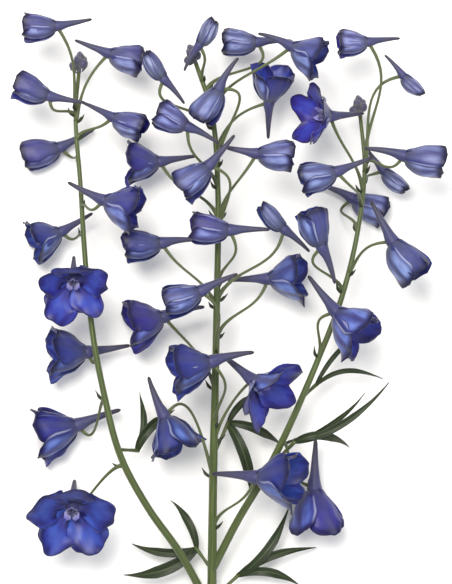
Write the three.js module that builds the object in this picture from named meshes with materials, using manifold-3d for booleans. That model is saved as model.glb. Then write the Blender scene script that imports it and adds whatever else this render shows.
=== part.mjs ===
// One cut stem of a belladonna delphinium, lying on a surface: a leading flower spike and two side
// spikes that branch from it, with long-spurred florets on curved stalks, knots of young buds at the
// three tips, and leaves cut into narrow lobes.
//
// Millimetres. +Y runs from the cut end to the tip of the leading spike, +X to the right seen from
// above, and +Z up from the surface. The plant is laid out with its cut end at Y 0 on the surface
// Z 0, and the finished group is then moved so that its origin is at the bottom centre of its box.

import * as THREE from "three";
import { mergeVertices } from "three/addons/utils/BufferGeometryUtils.js";
import Module from "manifold-3d";

const wasm = await Module();
wasm.setup();

// ---------------------------------------------------------------- driving dimensions

const BLADE = 0.75; // thickness of sepals and leaf lobes
const GAP = 0.4; // clear space where two pieces meet

const SEPAL_LENGTH = 21.5;
const SEPAL_HALF_WIDTH = 7.6;
const SEPAL_SECTOR = 34; // degrees round the floret's axis that half a sepal may fill
const CLAW_SHARE = 0.1; // width of a sepal's claw, as a share of its widest
const WIDEST_AT = 0.6; // where a sepal is widest, along its length
const EARLY_BEND = 1.4; // above 1, a sepal bends more in its lower half than in its upper
const MIDRIB_STEPS = 12; // how finely a midrib's bend is added up

const SPUR = [
  // along the floret's axis, towards the spurred side, radius
  [1.2, 0.4, 2.6],
  [-1.5, 1.0, 3.1],
  [-11, 3.3, 1.6],
  [-19.5, 4.8, 0.7],
];
const EYE = [
  // along the floret's axis, towards the spurred side, radius
  [2.4, 0.3, 1.2],
  [4.6, 0.3, 2.2],
  [7.0, 0.3, 3.4],
];
const EYE_SIDES = 8;
const EYE_LOBED = 0.6; // radius between the lobes of the eye, as a share of that at the lobes
const YOUNG_BUD = [
  // along the bud, towards one side, radius
  [0, 0, 0.8],
  [2.3, 0, 2.1],
  [4.5, 0, 0.9],
];
const YOUNG_BUD_SIDES = 5;
const KNOT_BUDS = 5;
const KNOT_RISE = 1.1; // how much further along the spike each bud of a knot starts
const KNOT_SPREAD = [75, 10]; // degrees that the first and the last bud of a knot lean out
const KNOT_TAPER = [1.15, 0.8]; // size of the first and the last bud
const KNOT_CORE = [1.1, 0.8]; // radius of the stalk that the buds of a knot sit on, from bottom to top
const KNOT_SUNK = 1.5; // how far up that stalk the first bud starts
const GOLDEN_ANGLE = 137.5; // degrees from one bud of a knot to the next

const LOWEST_SIZE = 1.22; // share of full size that a floret at the foot of a spike would have
const SIZE_FALL = 0.42; // how much of that is lost from the foot of a spike to its tip
const SPIKE_STEPS = 10;
const STALK_RADII = [1.1, 0.9, 0.95];
const STALK_SIDES = 3;
const STALK_STEPS = 4;
const STALK_BOW = 0.22; // how far a stalk first runs up and out, as a share of its reach
const STALK_NOD = 0.4; // how long its last bend is, as a share of its reach
const STALK_END = 3.4; // from a floret's origin to its stalk's end, at full size
const ARRIVAL = [0.6, 0.8]; // a stalk's last direction: along the mouth, and towards the spurred side

const LEAF_STALK_RADII = [1, 1.2];
const LEAF_STALK_SIDES = 3;
const LEAF_STALK_SUNK = 1.2; // how far a leaf's stalk runs on past its fork

const LOBE_STEPS = 3;
const LOBE_END_SHARE = 0.25; // width of a leaf lobe's ends, as a share of its widest

// How far a floret has opened. swell widens its base, flare is the angle of the sepal tips from the
// floret's axis in degrees, loose is how much the sepals differ in that, size is its share of a full
// floret, and width is that of its sepals. tip is a sepal's width at its tip, as a share of its widest,
// and pull is how far the tip's corners are drawn back.
const STAGES = {
  bud: { swell: 0.88, flare: -24, loose: 0.6, size: 0.9, width: 1, tip: 0.6, pull: 0.08 },
  cup: { swell: 1.08, flare: -9, loose: 1, size: 1.05, width: 1.12, tip: 0.66, pull: 0.06 },
  bell: { swell: 1.1, flare: 14, loose: 1.2, size: 1.07, width: 1.22, tip: 0.62, pull: 0.08 },
  open: { swell: 1.0, flare: 54, loose: 1.8, size: 1.08, width: 1.32, tip: 0.74, pull: 0.26 },
};
const SEPAL_CELLS = {
  // how many cells a sepal is built from, along and across
  bud: [3, 1],
  cup: [2, 2],
  bell: [2, 2],
  open: [3, 2],
};

// The five sepals round a floret's axis. angle is counted from its left side, and 90 is the spurred
// side; rise is the angle at which the sepal leaves the axis; start is how far from the axis; share is
// its length, as a share of a full sepal's; swing is its share of the flare where that is outwards.
const SEPALS = [
  { angle: 90, rise: 22, start: 3.3, share: 0.92, swing: 0.72 },
  { angle: 162, rise: 42, start: 2.2, share: 1.02, swing: 0.95 },
  { angle: 234, rise: 54, start: 2.0, share: 1, swing: 1.05 },
  { angle: 306, rise: 54, start: 2.0, share: 1, swing: 1.05 },
  { angle: 18, rise: 42, start: 2.2, share: 1.02, swing: 0.95 },
];

// The three spikes: points that the axis passes through, and its radius at the bottom and the tip.
const SPIKES = {
  leader: {
    points: [
      [-9, 0, 2.7],
      [-8.5, 40, 4.2],
      [-7.5, 80, 8],
      [-7, 118, 13.5],
      [-6.5, 160, 21],
      [-5.5, 205, 28],
      [-4.5, 255, 32],
      [-4, 305, 34],
      [-7, 345, 34],
      [-15, 370, 33],
    ],
    radii: [2.9, 1.1],
    sides: 7,
  },
  right: {
    points: [
      [-6.7, 116, 13.4],
      [6, 141, 18],
      [19, 163, 21],
      [31, 187, 25],
      [46, 222, 28],
      [57.5, 252, 29],
      [65.5, 284, 28],
      [69.5, 317, 26],
      [67.5, 345, 21],
    ],
    radii: [2.1, 0.95],
    sides: 6,
  },
  left: {
    points: [
      [-8, 96, 11],
      [-23, 124, 17],
      [-39.5, 148, 22],
      [-53, 174, 26],
      [-61.5, 207, 28],
      [-67, 237, 28],
      [-70.5, 272, 27],
      [-73, 310, 26],
      [-75.5, 345, 24],
      [-74, 367, 20],
    ],
    radii: [2.1, 0.95],
    sides: 6,
  },
};

// The florets. at is where the stalk leaves its spike, as a share of the spike's length, and place is
// where the stalk meets the floret. turn is the way the mouth points, in degrees from +X towards +Y,
// rise lifts it off the surface, roll turns the floret about its own axis, and grown, where it is given,
// makes it larger or smaller than its neighbours.
const FLORETS = [
  // leading spike, from its tip down
  { spike: "leader", at: 0.975, place: [-13, 378, 42], turn: 65, rise: 6, roll: 0, stage: "bud" },
  { spike: "leader", at: 0.96, place: [16, 381, 23], turn: 172, rise: 0, roll: 0, stage: "cup" },
  { spike: "leader", at: 0.93, place: [32, 377, 46], turn: -16, rise: 10, roll: 0, stage: "bell" },
  { spike: "leader", at: 0.91, place: [-31, 361, 44], turn: 120, rise: 0, roll: 10, stage: "bud" },
  { spike: "leader", at: 0.88, place: [21, 351, 24], turn: 72, rise: 22, roll: 180, stage: "bell" },
  { spike: "leader", at: 0.86, place: [-3, 356, 52], turn: 232, rise: -4, roll: 0, stage: "cup" },
  { spike: "leader", at: 0.83, place: [-19, 337, 50], turn: 145, rise: 0, roll: 0, stage: "cup" },
  { spike: "leader", at: 0.79, place: [-33, 321, 22], turn: 175, rise: 4, roll: 0, stage: "bell" },
  { spike: "leader", at: 0.79, place: [15, 324, 44], turn: 5, rise: 0, roll: 0, stage: "cup" },
  { spike: "leader", at: 0.76, place: [-8, 318, 52], turn: 212, rise: -3, roll: 0, stage: "cup" },
  { spike: "leader", at: 0.7, place: [2, 286, 51], turn: 168, rise: 0, roll: 0, stage: "cup" },
  { spike: "leader", at: 0.67, place: [-32, 280, 27], turn: 178, rise: 4, roll: 0, stage: "cup" },
  { spike: "leader", at: 0.68, place: [29, 287, 24], turn: 128, rise: 0, roll: 0, stage: "bud" },
  { spike: "leader", at: 0.63, place: [21, 262, 22], turn: 14, rise: 10, roll: 0, stage: "bell" },
  { spike: "leader", at: 0.61, place: [-12, 256, 49], turn: 194, rise: 0, roll: 0, stage: "cup" },
  { spike: "leader", at: 0.56, place: [-31, 243, 20], turn: 186, rise: 8, roll: 0, stage: "bell" },
  { spike: "leader", at: 0.51, place: [-7, 221, 49], turn: 184, rise: 6, roll: 0, stage: "bell" },
  { spike: "leader", at: 0.49, place: [13, 212, 40], turn: -32, rise: 34, roll: 60, stage: "open" },
  { spike: "leader", at: 0.44, place: [-30.5, 194, 23], turn: -78, rise: 8, roll: 180, stage: "bell" },
  { spike: "leader", at: 0.37, place: [15, 163, 36], turn: 8, rise: 18, roll: 0, stage: "bell" },
  // right-hand spike
  { spike: "right", at: 0.9, place: [71, 380, 37], turn: 175, rise: 3, roll: 0, stage: "cup", grown: 0.9 },
  { spike: "right", at: 0.88, place: [88, 364, 30], turn: -40, rise: 0, roll: 0, stage: "bud", grown: 0.88 },
  { spike: "right", at: 0.9, place: [88, 323, 42], turn: -4, rise: 3, roll: 0, stage: "cup", grown: 1.18 },
  { spike: "right", at: 0.86, place: [79, 317, 15], turn: -35, rise: 0, roll: 0, stage: "bud" },
  { spike: "right", at: 0.84, place: [52, 343, 36], turn: 168, rise: 28, roll: 0, stage: "open" },
  { spike: "right", at: 0.81, place: [55, 315, 48], turn: 186, rise: 0, roll: 0, stage: "cup" },
  { spike: "right", at: 0.76, place: [64, 303, 6.1], turn: -16, rise: 0, roll: 0, stage: "cup" },
  { spike: "right", at: 0.67, place: [82, 281, 40], turn: -47, rise: 4, roll: 0, stage: "cup", grown: 1.12 },
  { spike: "right", at: 0.63, place: [47, 278, 45], turn: 102, rise: 8, roll: 0, stage: "cup" },
  { spike: "right", at: 0.49, place: [54, 246, 40], turn: -35, rise: 15, roll: 0, stage: "bell" },
  { spike: "right", at: 0.3, place: [44, 157, 10.8], turn: -75, rise: 0, roll: 0, stage: "bell" },
  // left-hand spike
  { spike: "left", at: 0.93, place: [-84, 388, 36], turn: 175, rise: 3, roll: 0, stage: "cup" },
  { spike: "left", at: 0.91, place: [-59, 375, 28], turn: -6, rise: 0, roll: 0, stage: "cup" },
  { spike: "left", at: 0.92, place: [-88, 353, 36], turn: 153, rise: 0, roll: 0, stage: "cup" },
  { spike: "left", at: 0.88, place: [-57, 343, 29], turn: -14, rise: 10, roll: 0, stage: "cup" },
  { spike: "left", at: 0.84, place: [-84, 329, 6.2], turn: 190, rise: 0, roll: 0, stage: "cup" },
  { spike: "left", at: 0.76, place: [-61, 301, 43], turn: -8, rise: 8, roll: 0, stage: "bell" },
  { spike: "left", at: 0.71, place: [-83, 286, 14], turn: 194, rise: 10, roll: 0, stage: "bell", grown: 0.9 },
  { spike: "left", at: 0.6, place: [-76, 262, 36], turn: -86, rise: 72, roll: 88, stage: "open" },
  { spike: "left", at: 0.53, place: [-70, 225, 14], turn: 172, rise: 12, roll: 0, stage: "bell" },
  { spike: "left", at: 0.42, place: [-75, 188, 9.5], turn: 187, rise: 2, roll: 0, stage: "bell" },
  { spike: "left", at: 0.3, place: [-77, 148, 26], turn: -88, rise: 72, roll: 85, stage: "open" },
];

// The leaves. at is where the leaf stalk leaves its spike, fork is where the lobes part, and each
// lobe runs to its tip with an arch above the straight line, a bow to its left, and a half width at its
// widest.
const LEAVES = [
  {
    spike: "right",
    at: 0.24,
    fork: [34, 181, 34],
    lobes: [
      { tip: [81, 211, 36], arch: 4, bow: -5, wide: 1.6 },
      { tip: [70, 205, 20], arch: 5, bow: -3, wide: 1.2 },
      { tip: [62, 178, 22], arch: 8, bow: 5, wide: 1.9 },
    ],
  },
  {
    spike: "right",
    at: 0.4,
    fork: [45, 209, 20],
    lobes: [
      { tip: [79, 212, 14], arch: 7, bow: 6, wide: 1.1 },
      { tip: [74, 240, 10], arch: 3, bow: 3, wide: 1.1 },
    ],
  },
  {
    spike: "leader",
    at: 0.47,
    fork: [1, 190, 18],
    lobes: [
      { tip: [13, 152, 8], arch: 10, bow: 3, wide: 2.5 },
      { tip: [28, 178, 4], arch: 7, bow: 3, wide: 2.0 },
      { tip: [16, 205, 6], arch: 5, bow: 2, wide: 1.6 },
    ],
  },
  {
    spike: "leader",
    at: 0.31,
    fork: [-15, 126, 10],
    lobes: [
      { tip: [-52, 112, 5], arch: 5.5, bow: 4, wide: 2.8 },
      { tip: [-48, 128, 3], arch: 4.5, bow: 3, wide: 2.0 },
      { tip: [-28, 150, 3], arch: 5, bow: -3, wide: 1.8 },
    ],
  },
  {
    spike: "leader",
    at: 0.27,
    fork: [6, 112, 7],
    lobes: [
      { tip: [32, 147, 3], arch: 7, bow: -4, wide: 2.2 },
      { tip: [46, 126, 3], arch: 6, bow: 4, wide: 1.9 },
      { tip: [38, 106, 3], arch: 5, bow: 5, wide: 2.0 },
    ],
  },
  {
    spike: "left",
    at: 0.33,
    fork: [-45, 176, 16],
    lobes: [
      { tip: [-26, 196, 8], arch: 6, bow: 3, wide: 2.2 },
      { tip: [-44, 205, 8], arch: 4, bow: -3, wide: 1.5 },
    ],
  },
];

const COLOURS = {
  stem: "#6d8545",
  leaf: "#445c2e",
  sepal: "#4a48a8",
  youngBud: "#62607c",
  eye: "#c9c3d6",
};

// ---------------------------------------------------------------- small tools

const radians = THREE.MathUtils.degToRad;
const vector = (point) => new THREE.Vector3(...point);

// Evenly spaced values from 0 to 1, both ends included.
const shares = (cells) => Array.from({ length: cells + 1 }, (_, place) => place / cells);

// A small seeded generator, so that every run draws the same numbers.
function seeded(seed) {
  let state = seed >>> 0;
  return () => {
    state = (state + 0x6d2b79f5) >>> 0;
    let word = Math.imul(state ^ (state >>> 15), state | 1);
    word ^= word + Math.imul(word ^ (word >>> 7), word | 61);
    return ((word ^ (word >>> 14)) >>> 0) / 4294967296;
  };
}

// A three.js geometry as a manifold-3d solid.
function solidFrom(geometry) {
  const bare = geometry.clone();
  bare.deleteAttribute("normal");
  bare.deleteAttribute("uv");
  const merged = mergeVertices(bare, 1e-5);
  return new wasm.Manifold(
    new wasm.Mesh({
      numProp: 3,
      vertProperties: merged.attributes.position.array,
      triVerts: new Uint32Array(merged.index.array),
    }),
  );
}

// A manifold-3d solid as a three.js geometry.
function geometryFrom(solid) {
  const mesh = solid.getMesh();
  const geometry = new THREE.BufferGeometry();
  geometry.setAttribute("position", new THREE.BufferAttribute(mesh.vertProperties, mesh.numProp));
  geometry.setIndex(new THREE.BufferAttribute(mesh.triVerts, 1));
  return geometry;
}

function indexedGeometry(points, faces) {
  const geometry = new THREE.BufferGeometry();
  const positions = points.flatMap((point) => point.toArray());
  geometry.setAttribute("position", new THREE.Float32BufferAttribute(positions, 3));
  geometry.setIndex(faces);
  return geometry;
}

// A closed skin over rings of points, each joined to the next, with both ends capped. The points of
// a ring run anticlockwise for someone who looks back from the last ring to the first.
function skin(rings) {
  const sides = rings[0].length;
  const faces = [];
  for (let ring = 0; ring + 1 < rings.length; ring++) {
    for (let side = 0; side < sides; side++) {
      const a = ring * sides + side;
      const b = ring * sides + ((side + 1) % sides);
      faces.push(a, b, b + sides, a, b + sides, a + sides);
    }
  }
  const last = (rings.length - 1) * sides;
  for (let side = 1; side + 1 < sides; side++) {
    faces.push(0, side + 1, side, last, last + side, last + side + 1);
  }
  return indexedGeometry(rings.flat(), faces);
}

// A bar along a curve. radiusAt gives its radius at each share of its length.
function bar(curve, radiusAt, sides, steps) {
  const frames = curve.computeFrenetFrames(steps);
  const rings = shares(steps).map((share, step) => {
    const centre = curve.getPointAt(share);
    return shares(sides - 1).map((_, side) => {
      const angle = ((side + 0.5) / sides) * 2 * Math.PI;
      return centre
        .clone()
        .addScaledVector(frames.normals[step], radiusAt(share) * Math.cos(angle))
        .addScaledVector(frames.binormals[step], radiusAt(share) * Math.sin(angle));
    });
  });
  return solidFrom(skin(rings));
}

// A bar along the X axis from rings of [x, z, radius], with a flat side towards +Z. Every second
// corner is drawn in to the lobed share of the radius.
function straightBar(rings, sides, lobed = 1) {
  const ringPoints = rings.map(([x, z, radius]) =>
    shares(sides - 1).map((_, side) => {
      const angle = radians(90) + ((side + 0.5) / sides) * 2 * Math.PI;
      const reach = side % 2 ? radius * lobed : radius;
      return new THREE.Vector3(x, reach * Math.cos(angle), z + reach * Math.sin(angle));
    }),
  );
  const forwards = rings[0][0] < rings[rings.length - 1][0];
  return solidFrom(skin(forwards ? ringPoints : ringPoints.reverse()));
}

// A radius that runs evenly between the values of a list.
function through(values) {
  return (share) => {
    const place = share * (values.length - 1);
    const low = Math.min(Math.floor(place), values.length - 2);
    return THREE.MathUtils.lerp(values[low], values[low + 1], place - low);
  };
}

// A thin blade from a grid of points, thickened to both sides of it. Both faces are split into
// triangles alike.
function blade(grid) {
  const rows = grid.length;
  const columns = grid[0].length;
  const at = (row, column) =>
    grid[THREE.MathUtils.clamp(row, 0, rows - 1)][THREE.MathUtils.clamp(column, 0, columns - 1)];
  const upper = [];
  const lower = [];
  for (let row = 0; row < rows; row++) {
    for (let column = 0; column < columns; column++) {
      const along = at(row + 1, column).clone().sub(at(row - 1, column));
      const across = at(row, column + 1).clone().sub(at(row, column - 1));
      const normal = along.cross(across).normalize();
      upper.push(at(row, column).clone().addScaledVector(normal, BLADE / 2));
      lower.push(at(row, column).clone().addScaledVector(normal, -BLADE / 2));
    }
  }
  const index = (row, column) => row * columns + column;
  const under = rows * columns;
  const faces = [];
  for (let row = 0; row + 1 < rows; row++) {
    for (let column = 0; column + 1 < columns; column++) {
      const a = index(row, column);
      const b = index(row + 1, column);
      const c = index(row + 1, column + 1);
      const d = index(row, column + 1);
      faces.push(a, b, c, a, c, d);
      faces.push(under + a, under + c, under + b, under + a, under + d, under + c);
    }
  }
  const rim = [];
  for (let column = 0; column + 1 < columns; column++) rim.push(index(0, column));
  for (let row = 0; row + 1 < rows; row++) rim.push(index(row, columns - 1));
  for (let column = columns - 1; column > 0; column--) rim.push(index(rows - 1, column));
  for (let row = rows - 1; row > 0; row--) rim.push(index(row, 0));
  rim.forEach((a, place) => {
    const b = rim[(place + 1) % rim.length];
    faces.push(a, b, under + b, a, under + b, under + a);
  });
  return solidFrom(indexedGeometry([...upper, ...lower], faces));
}

// ---------------------------------------------------------------- one floret, in its own frame
// +X points out of the mouth, +Z to the spurred side, and the origin is where the stalk meets it.

// What makes one floret differ from the next of its stage: its size, which falls up the spike, the
// bend of its spur, and how each sepal is turned, flared and lengthened.
function individual({ at, stage, grown }, seed) {
  const draw = seeded(seed);
  const within = (amount) => (2 * draw() - 1) * amount;
  return {
    size: (grown ?? 1) * STAGES[stage].size * (LOWEST_SIZE - SIZE_FALL * at + within(0.04)),
    spurBend: within(2.4),
    sepals: SEPALS.map(() => ({
      turned: within(1),
      flared: within(7),
      longer: 1 + within(0.05),
    })),
  };
}

// Half the width of a sepal at a share of its length, as a share of its widest.
function sepalWidth(stage, along) {
  if (along < WIDEST_AT) {
    const grown = Math.sin((Math.PI / 2) * (along / WIDEST_AT)) ** 1.6;
    return CLAW_SHARE + (1 - CLAW_SHARE) * grown;
  }
  return 1 - (1 - stage.tip) * ((along - WIDEST_AT) / (1 - WIDEST_AT)) ** 2;
}

// How far along the floret's axis and how far from it a midrib is, at a share of its length.
function midribPoint(sepal, own, stage, along) {
  const first = radians(sepal.rise * stage.swell);
  const flare = Math.min(stage.flare, stage.flare * sepal.swing);
  const last = radians(flare + own.flared * stage.loose);
  const step = (SEPAL_LENGTH * sepal.share * own.longer * along) / MIDRIB_STEPS;
  let forward = 0;
  let away = sepal.start;
  for (let place = 0; place < MIDRIB_STEPS; place++) {
    const passed = (along * (place + 0.5)) / MIDRIB_STEPS;
    const angle = THREE.MathUtils.lerp(last, first, (1 - passed) ** EARLY_BEND);
    forward += step * Math.cos(angle);
    away += step * Math.sin(angle);
  }
  return [forward, away];
}

// A point of a sepal: along runs from its claw to its tip, and across from one edge, -1, to the
// other, 1. The sepal wraps round the floret's axis.
function sepalPoint(sepal, own, stage, along, across) {
  const drawn = along * (1 - stage.pull * Math.abs(across) ** 2);
  const [forward, away] = midribPoint(sepal, own, stage, drawn);
  const half = SEPAL_HALF_WIDTH * stage.width * sepalWidth(stage, along);
  const wrap = Math.min(half / Math.max(away, 3), radians(SEPAL_SECTOR));
  const round = radians(sepal.angle + own.turned) + across * wrap;
  return new THREE.Vector3(forward, away * Math.cos(round), away * Math.sin(round));
}

function sepalSolid(sepal, own, stageName) {
  const stage = STAGES[stageName];
  const [rows, columns] = SEPAL_CELLS[stageName];
  const grid = shares(rows).map((along) =>
    shares(columns).map((side) => sepalPoint(sepal, own, stage, along, 2 * side - 1)),
  );
  return blade(grid);
}

// The spur. Its front end is the receptacle that the sepals' claws are sunk in.
function spurSolid(bend) {
  const [reach] = SPUR[SPUR.length - 1];
  const rings = SPUR.map(([x, z, radius]) => [x, z + bend * (x / reach) ** 2, radius]);
  return straightBar(rings, SEPALS.length);
}

function floretSolid(stageName, own) {
  const sepals = SEPALS.map((sepal, place) => sepalSolid(sepal, own.sepals[place], stageName));
  return wasm.Manifold.union([...sepals, spurSolid(own.spurBend)]).scale(own.size);
}

// ---------------------------------------------------------------- placing

// The floret's own axes in the plant: out of the mouth, to its left, and to its spurred side.
function floretAxes({ turn, rise, roll }) {
  const mouth = new THREE.Vector3(
    Math.cos(radians(rise)) * Math.cos(radians(turn)),
    Math.cos(radians(rise)) * Math.sin(radians(turn)),
    Math.sin(radians(rise)),
  );
  const side = Math.cos(radians(turn)) < 0 ? -1 : 1;
  const spurred = new THREE.Vector3(-Math.sin(radians(turn)), Math.cos(radians(turn)), 0)
    .multiplyScalar(side)
    .applyAxisAngle(mouth, radians(roll));
  return { mouth, left: spurred.clone().cross(mouth), spurred };
}

function placement(floret) {
  const { mouth, left, spurred } = floretAxes(floret);
  return new THREE.Matrix4().makeBasis(mouth, left, spurred).setPosition(...floret.place).toArray();
}

// A matrix that lays +X along a direction at a place.
function pointing(direction, place) {
  const turn = new THREE.Quaternion().setFromUnitVectors(
    new THREE.Vector3(1, 0, 0),
    direction.clone().normalize(),
  );
  return new THREE.Matrix4().makeRotationFromQuaternion(turn).setPosition(place).toArray();
}

const spikeCurves = Object.fromEntries(
  Object.entries(SPIKES).map(([name, spike]) => [
    name,
    new THREE.CatmullRomCurve3(spike.points.map(vector)),
  ]),
);

// A flower stalk leaves its spike upwards, bows out, and nods over into the floret.
function stalkCurve(floret, own) {
  const { mouth, spurred } = floretAxes(floret);
  const spike = spikeCurves[floret.spike];
  const root = spike.getPointAt(floret.at);
  const upwards = spike.getTangentAt(floret.at);
  const arrival = mouth
    .clone()
    .multiplyScalar(ARRIVAL[0])
    .addScaledVector(spurred, ARRIVAL[1]);
  const end = vector(floret.place).addScaledVector(arrival, -(STALK_END * own.size + GAP));
  const reach = root.distanceTo(end);
  const outwards = end.clone().sub(root).normalize();
  return new THREE.CubicBezierCurve3(
    root,
    root.clone().addScaledVector(upwards.add(outwards), STALK_BOW * reach),
    end.clone().addScaledVector(arrival, -STALK_NOD * reach),
    end,
  );
}

// ---------------------------------------------------------------- leaves and young buds

// One lobe of a leaf: a narrow blade along an arch, widest a third of the way out.
function lobeSolid(fork, lobe) {
  const tip = vector(lobe.tip);
  const up = new THREE.Vector3(0, 0, 1);
  const leftwards = up.clone().cross(tip.clone().sub(fork)).normalize();
  const middle = fork.clone().lerp(tip, 0.45).addScaledVector(leftwards, 2 * lobe.bow);
  middle.z += 2 * lobe.arch;
  const curve = new THREE.QuadraticBezierCurve3(fork, middle, tip);
  const grid = shares(LOBE_STEPS).map((along) => {
    const centre = curve.getPoint(along);
    const across = curve.getTangent(along).cross(up).normalize();
    const swelling = Math.sin(Math.PI * (0.06 + 0.9 * along ** 0.8));
    const half = lobe.wide * (LOBE_END_SHARE + (1 - LOBE_END_SHARE) * swelling);
    return [-half, half].map((offset) => centre.clone().addScaledVector(across, offset));
  });
  return blade(grid);
}

function leafSolid(leaf) {
  const fork = vector(leaf.fork);
  const spike = spikeCurves[leaf.spike];
  const node = spike.getPointAt(leaf.at);
  const outwards = fork.clone().sub(node).normalize();
  const lean = outwards.angleTo(spike.getTangentAt(leaf.at));
  const [stalkRadius] = LEAF_STALK_RADII;
  const beside = SPIKES[leaf.spike].radii[0] + stalkRadius * Math.abs(Math.cos(lean)) + GAP;
  const start = node.clone().addScaledVector(outwards, beside / Math.sin(lean));
  const end = fork.clone().addScaledVector(outwards, LEAF_STALK_SUNK);
  const line = new THREE.LineCurve3(start, end);
  const stalk = bar(line, through(LEAF_STALK_RADII), LEAF_STALK_SIDES, 1);
  return wasm.Manifold.union([stalk, ...leaf.lobes.map((lobe) => lobeSolid(fork, lobe))]);
}

// The knot of young buds on the end of a spike. Each bud starts further up than the last, a golden
// angle round from it, smaller, and leaning out less.
function knotSolid(spikeName) {
  const spike = spikeCurves[spikeName];
  const upwards = spike.getTangentAt(1);
  const base = spike.getPointAt(1).addScaledVector(upwards, GAP);
  const sideways = new THREE.Vector3(0, 0, 1).cross(upwards).normalize();
  const buds = shares(KNOT_BUDS - 1).map((share, place) => {
    const round = sideways.clone().applyAxisAngle(upwards, radians(GOLDEN_ANGLE * place));
    const lean = radians(through(KNOT_SPREAD)(share));
    const direction = upwards.clone().multiplyScalar(Math.cos(lean)).addScaledVector(round, Math.sin(lean));
    const root = base.clone().addScaledVector(upwards, KNOT_RISE * place + KNOT_SUNK);
    const bud = straightBar(YOUNG_BUD, YOUNG_BUD_SIDES).scale(through(KNOT_TAPER)(share));
    return bud.transform(pointing(direction, root));
  });
  const core = new THREE.LineCurve3(base, base.clone().addScaledVector(upwards, KNOT_RISE * KNOT_BUDS));
  return wasm.Manifold.union([...buds, bar(core, through(KNOT_CORE), YOUNG_BUD_SIDES, 1)]);
}

// ---------------------------------------------------------------- the plant

const plant = new THREE.Group();
const surface = solidFrom(new THREE.BoxGeometry(600, 1000, 100).translate(0, 200, -50)); // top at Z 0

// Adds a piece to the plant. What would reach below the surface is cut off there, which leaves the
// small flat spot that the piece rests on.
function addPiece(name, solid, colour) {
  const material = new THREE.MeshStandardMaterial({ color: colour, roughness: 0.6, metalness: 0 });
  const mesh = new THREE.Mesh(geometryFrom(solid.subtract(surface)), material);
  mesh.name = name;
  plant.add(mesh);
}

const numbered = (name, place) => name + "_" + String(place + 1).padStart(2, "0");
const individuals = FLORETS.map((floret, place) => individual(floret, place + 1));

const stemSolids = Object.entries(SPIKES).map(([name, spike]) =>
  bar(spikeCurves[name], through(spike.radii), spike.sides, SPIKE_STEPS),
);
FLORETS.forEach((floret, place) => {
  const curve = stalkCurve(floret, individuals[place]);
  stemSolids.push(bar(curve, through(STALK_RADII), STALK_SIDES, STALK_STEPS));
});
addPiece("stem", wasm.Manifold.union(stemSolids), COLOURS.stem);

FLORETS.forEach((floret, place) => {
  const own = individuals[place];
  const solid = floretSolid(floret.stage, own).transform(placement(floret));
  addPiece(numbered("floret", place), solid, COLOURS.sepal);
  if (floret.stage === "open") {
    const eye = straightBar(EYE, EYE_SIDES, EYE_LOBED).scale(own.size);
    addPiece(numbered("eye", place), eye.transform(placement(floret)), COLOURS.eye);
  }
});

for (const name of Object.keys(SPIKES)) {
  addPiece("young_buds_" + name, knotSolid(name), COLOURS.youngBud);
}
LEAVES.forEach((leaf, place) => {
  addPiece(numbered("leaf", place), leafSolid(leaf), COLOURS.leaf);
});

const box = new THREE.Box3().setFromObject(plant);
const middle = box.getCenter(new THREE.Vector3());
plant.position.set(-middle.x, -middle.y, -box.min.z);

export default plant;
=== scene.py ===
# %% [markdown]
# # A cut delphinium, laid down on a table
#
# A belladonna delphinium is a loose, branching flower spike. Each floret is five coloured sepals with a
# long hollow spur, held on its own curved stalk. The CAD part already says where every floret, leaf and
# stalk is. This lesson dresses it: it replaces each plain solid by a finer mesh of the same form, and
# gives it a finish of its own.
#
# The frame is loaded first.

import math

import bmesh
import bpy
from mathutils import Matrix, Quaternion, Vector, noise


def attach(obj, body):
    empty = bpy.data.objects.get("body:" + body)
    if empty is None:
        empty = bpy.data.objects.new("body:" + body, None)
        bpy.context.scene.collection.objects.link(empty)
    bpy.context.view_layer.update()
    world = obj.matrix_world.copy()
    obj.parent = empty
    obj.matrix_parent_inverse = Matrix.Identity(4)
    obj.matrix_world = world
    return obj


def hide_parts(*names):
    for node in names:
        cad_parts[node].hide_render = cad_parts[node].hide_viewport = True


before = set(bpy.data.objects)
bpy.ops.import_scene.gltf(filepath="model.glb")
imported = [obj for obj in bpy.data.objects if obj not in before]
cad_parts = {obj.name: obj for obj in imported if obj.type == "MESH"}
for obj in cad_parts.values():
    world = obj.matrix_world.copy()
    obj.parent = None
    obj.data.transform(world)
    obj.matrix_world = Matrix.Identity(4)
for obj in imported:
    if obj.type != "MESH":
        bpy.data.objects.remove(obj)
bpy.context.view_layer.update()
print("the frame has", len(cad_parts), "nodes")

# %% [markdown]
# ## Sizes
#
# Lengths are in millimetres in these tables, because that is how one measures a flower, and `MM` turns
# them to metres at the end. The shapes of a sepal, of the spur and of a stalk are the part's. Only the
# sector that half a sepal may fill is larger here: real sepals overlap like roof tiles, while those of
# the part stand side by side.

# %% Driving sizes
MM = 0.001

SEPAL_LENGTH = 21.5
SEPAL_HALF_WIDTH = 7.6
SEPAL_SECTOR = 50  # degrees round the floret's axis that half a sepal may fill
CLAW_SHARE = 0.3  # width of a sepal's claw, as a share of its widest
WIDEST_AT = 0.6  # where a sepal is widest, along its length
EARLY_BEND = 1.4  # above 1, a sepal bends more in its lower half
SEPAL_THICKNESS = 0.35

SPUR = [  # along the floret's axis, towards the spurred side, radius
    (3.2, 0.4, 2.0),
    (1.0, 0.5, 3.2),
    (-1.6, 1.0, 2.9),
    (-5.0, 2.0, 2.15),
    (-11.0, 3.3, 1.5),
    (-16.0, 4.3, 1.05),
    (-18.9, 4.75, 0.75),
    (-19.6, 4.85, 0.2),
]

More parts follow.
